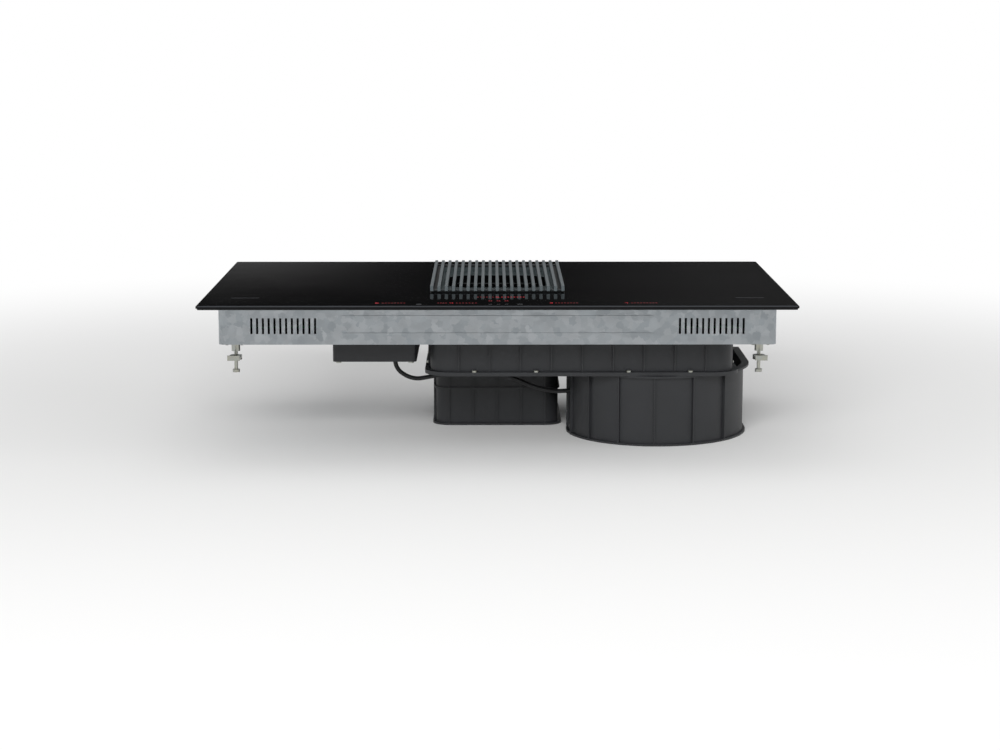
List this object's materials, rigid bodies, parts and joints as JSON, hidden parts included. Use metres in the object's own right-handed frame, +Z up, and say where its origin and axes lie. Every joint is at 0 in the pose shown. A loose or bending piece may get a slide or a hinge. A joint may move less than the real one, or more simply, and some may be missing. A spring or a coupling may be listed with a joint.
{
  "type": "downdraft induction cooktop",
  "caption": "Black glass induction hob with a slatted downdraft intake in the middle and a scroll fan, grease filter, drip tray and rear duct outlet underneath.",
  "frame": {"origin": "bottom centre of the whole unit: middle of the glass in X and Y, underside of the fan unit", "axes": "+X to the right seen from the cook, +Y to the back, +Z up"},
  "size_m": [0.83, 0.515, 0.2266],
  "materials": {
    "black_glass_ceramic": "polished black glass-ceramic, ground bevel",
    "seal_foam": "closed-cell foam, matt",
    "silicone_bead": "silicone, satin",
    "grille_coating": "grey powder coat on die-cast aluminium, satin",
    "silicone_pad": "silicone, satin",
    "collar_enamel": "dark grey coated pressed steel, satin",
    "filter_enamel": "black enamelled steel, satin",
    "filter_mesh_metal": "woven aluminium mesh, dark anodised",
    "shaft_plastic": "moulded glass-filled plastic, matt",
    "galvanised_sheet": "galvanised sheet steel, spangled",
    "copper_litz": "lacquered copper litz",
    "aluminium_sheet": "plain aluminium sheet",
    "ferrite": "sintered ferrite, matt",
    "mica": "pressed mica paper, pearly",
    "sensor_ceramic": "white ceramic",
    "silicone_cushion": "red-brown silicone",
    "board_laminate": "green solder mask",
    "component_black": "moulded epoxy",
    "fan_black": "moulded plastic, matt",
    "touch_laminate": "black solder mask",
    "holder_plastic": "moulded white plastic",
    "light_guide": "clear acrylic lit red",
    "housing_plastic": "moulded plastic, fine texture",
    "gasket_foam": "foam, matt",
    "ring_plastic": "moulded grey plastic",
    "impeller_plastic": "moulded plastic",
    "rotor_steel": "deep-drawn steel",
    "polished_steel": "ground steel",
    "cast_aluminium": "die-cast aluminium",
    "lamination_steel": "stamped laminations",
    "tray_plastic": "moulded plastic, satin",
    "terminal_plastic": "moulded nylon",
    "gland_nylon": "moulded nylon",
    "cable_sheath": "PVC sheath, satin",
    "zinc_steel": "zinc-plated steel",
    "led_red": "lit red segment seen through the glass",
    "printed_grey": "grey screen print under the glass"
  },
  "bodies": {
    "hob": {"air_box_lower": "housing_plastic", "air_box_upper": "housing_plastic", "air_shaft": "shaft_plastic", "board_parts": "component_black", "box_gasket": "gasket_foam", "cable_gland": "gland_nylon", "clamp_brackets": "zinc_steel", "clamp_screws": "zinc_steel", "coil_carriers": "aluminium_sheet", "coil_cushions": "silicone_cushion", "coil_front_left": "copper_litz", "coil_front_right": "copper_litz", "coil_rails": "aluminium_sheet", "coil_rear_left": "copper_litz", "coil_rear_right": "copper_litz", "coil_sensors": "sensor_ceramic", "control_box": "housing_plastic", "control_lid": "housing_plastic", "fan_cable": "cable_sheath", "fan_frames": "fan_black", "ferrite_bars": "ferrite", "glass_bond": "silicone_bead", "glass_top": "black_glass_ceramic", "heatsinks": "aluminium_sheet", "hob_pan": "galvanised_sheet", "housing_screws": "zinc_steel", "inlet_ring": "ring_plastic", "light_guides": "light_guide", "mica_sheets": "mica", "motor_base": "cast_aluminium", "motor_bearings": "polished_steel", "motor_stator": "lamination_steel", "outlet_spigot": "housing_plastic", "power_board_left": "board_laminate", "power_board_right": "board_laminate", "scroll_tub": "housing_plastic", "terminal_block": "terminal_plastic", "terminal_box": "galvanised_sheet", "touch_board": "touch_laminate", "touch_holder": "holder_plastic", "vent_collar": "collar_enamel", "worktop_seal": "seal_foam"},
    "grille": {"vent_grille": "grille_coating", "grille_pads": "silicone_pad"},
    "grease_filter": {"filter_basket": "filter_enamel", "filter_mesh": "filter_mesh_metal", "filter_handle": "filter_enamel"},
    "fan_wheel": {"impeller": "impeller_plastic", "motor_rotor": "rotor_steel", "motor_shaft": "polished_steel"},
    "board_fan_left": {"fan_rotor_left": "fan_black"},
    "board_fan_right": {"fan_rotor_right": "fan_black"},
    "upper_flap": {"damper_flap_upper": "ring_plastic"},
    "lower_flap": {"damper_flap_lower": "ring_plastic"},
    "tray": {"drip_tray": "tray_plastic"},
    "terminal_cover": {"terminal_lid": "galvanised_sheet"},
    "clamp_front_left": {"clamp_arm_front_left": "zinc_steel"},
    "clamp_front_right": {"clamp_arm_front_right": "zinc_steel"},
    "clamp_rear_left": {"clamp_arm_rear_left": "zinc_steel"},
    "clamp_rear_right": {"clamp_arm_rear_right": "zinc_steel"}
  },
  "joints": [
    {"name": "grille_lift", "type": "slide", "parent": "hob", "child": "grille", "axis": [0, 0, 1], "range_m": [0, 0.25]},
    {"name": "filter_lift", "type": "slide", "parent": "hob", "child": "grease_filter", "axis": [0, 0, 1], "range_m": [0, 0.125]},
    {"name": "fan_spin", "type": "hinge", "parent": "hob", "child": "fan_wheel", "pos_m": [0.222, -0.025, 0.012], "axis": [0, 0, 1], "continuous": true},
    {"name": "board_fan_left_spin", "type": "hinge", "parent": "hob", "child": "board_fan_left", "pos_m": [-0.15, -0.192, 0.1647], "axis": [0, 0, 1], "continuous": true},
    {"name": "board_fan_right_spin", "type": "hinge", "parent": "hob", "child": "board_fan_right", "pos_m": [0.15, -0.192, 0.1647], "axis": [0, 0, 1], "continuous": true},
    {"name": "upper_flap_swing", "type": "hinge", "parent": "hob", "child": "upper_flap", "pos_m": [0.255, 0.199, 0.055], "axis": [-1, 0, 0], "range_deg": [0, 80], "stiffness_Nm_per_rad": 0.008, "springref_deg": -45.84},
    {"name": "lower_flap_swing", "type": "hinge", "parent": "hob", "child": "lower_flap", "pos_m": [0.255, 0.199, 0.047], "axis": [1, 0, 0], "range_deg": [0, 80]},
    {"name": "tray_slide", "type": "slide", "parent": "hob", "child": "tray", "axis": [0, 0, -1], "range_m": [0, 0.09]},
    {"name": "terminal_cover_hinge", "type": "hinge", "parent": "hob", "child": "terminal_cover", "pos_m": [-0.29, 0.2345, 0.1565], "axis": [1, 0, 0], "range_deg": [0, 90]},
    {"name": "clamp_front_left_turn", "type": "hinge", "parent": "hob", "child": "clamp_front_left", "pos_m": [-0.366, -0.203, 0.1375], "axis": [0, 0, -1], "range_deg": [0, 90]},
    {"name": "clamp_front_right_turn", "type": "hinge", "parent": "hob", "child": "clamp_front_right", "pos_m": [0.366, -0.203, 0.1375], "axis": [0, 0, 1], "range_deg": [0, 90]},
    {"name": "clamp_rear_left_turn", "type": "hinge", "parent": "hob", "child": "clamp_rear_left", "pos_m": [-0.366, 0.203, 0.1375], "axis": [0, 0, 1], "range_deg": [0, 90]},
    {"name": "clamp_rear_right_turn", "type": "hinge", "parent": "hob", "child": "clamp_rear_right", "pos_m": [0.366, 0.203, 0.1375], "axis": [0, 0, -1], "range_deg": [0, 90]}
  ],
  "couplings": [
    {"joint": "filter_lift", "follows": "grille_lift", "ratio": 0.5},
    {"joint": "lower_flap_swing", "follows": "upper_flap_swing", "ratio": 1}
  ]
}
